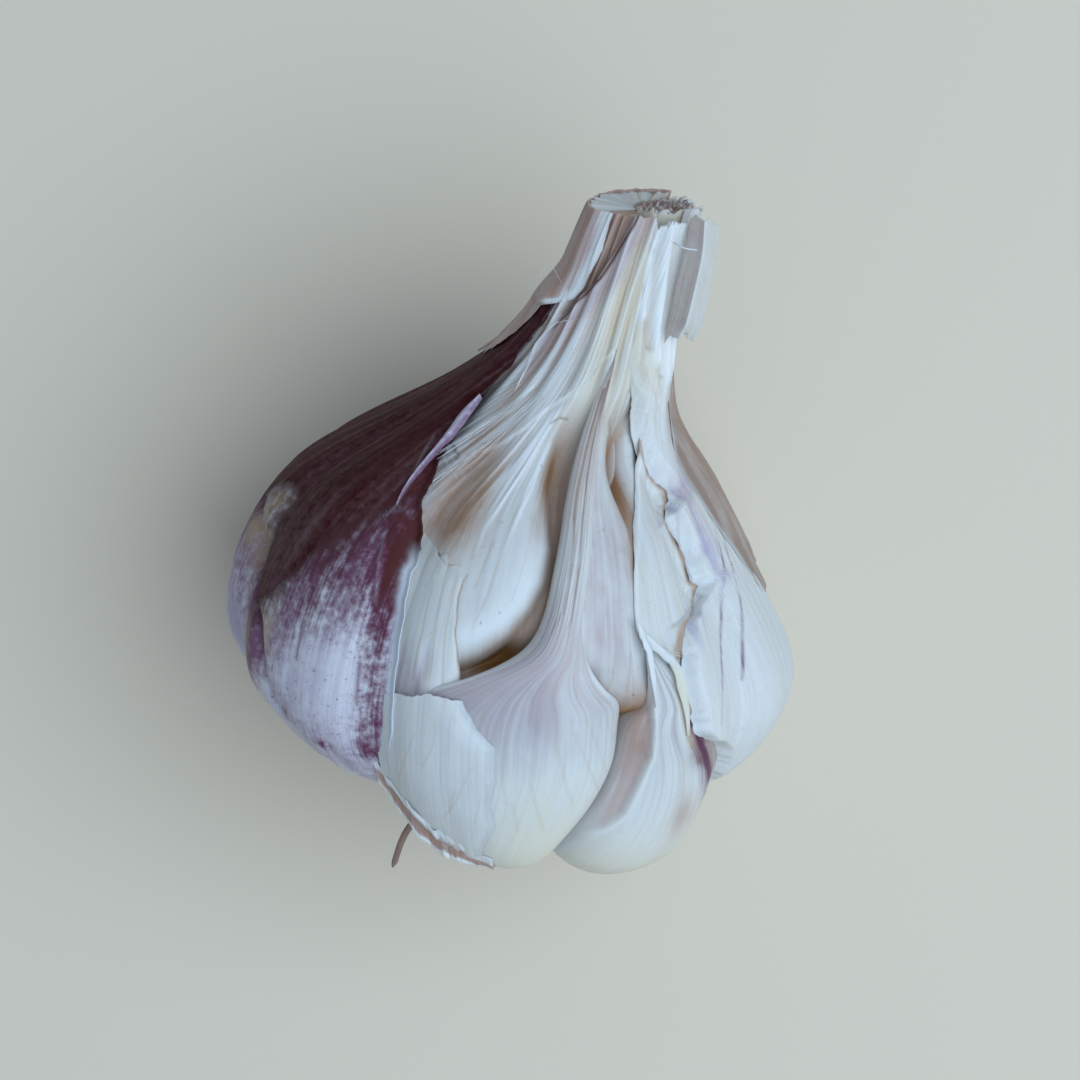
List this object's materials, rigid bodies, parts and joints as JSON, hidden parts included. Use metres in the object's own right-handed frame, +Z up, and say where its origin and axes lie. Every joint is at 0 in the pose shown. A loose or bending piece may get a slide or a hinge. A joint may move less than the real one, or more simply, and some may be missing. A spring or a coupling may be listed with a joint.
{
  "type": "garlic bulb",
  "caption": "Whole hardneck garlic bulb lying on its side, neck raised, purple wrapper torn open over white cloves.",
  "frame": {"origin": "centre of the bulb's footprint box, on the surface that it lies on", "axes": "+Z up; +Y along the bulb towards its neck; +X to the bulb's right as seen from above with the neck away from the viewer"},
  "size_m": [0.0568, 0.0682, 0.0534],
  "materials": {
    "clove": "satin",
    "skin": "matt",
    "purple_skin": "satin",
    "sheath": "matt",
    "stalk": "matt",
    "plate": "matt"
  },
  "bodies": {
    "root": {"clove_right": "clove", "clove_left": "clove", "clove_far_left": "clove", "clove_back_left": "clove", "clove_under_left": "clove", "clove_under_right": "clove", "clove_back_right": "clove", "clove_inner_left": "clove", "clove_inner_middle": "clove", "clove_inner_right": "clove", "clove_front": "clove", "clove_front_right": "clove", "right_wrapper": "skin", "left_band": "skin", "right_band": "skin", "front_flake": "skin", "loose_leaf": "skin", "purple_wrapper": "purple_skin", "neck_sheath": "sheath", "base_skin": "sheath", "stalk": "stalk", "root_plate": "plate"}
  },
  "joints": []
}
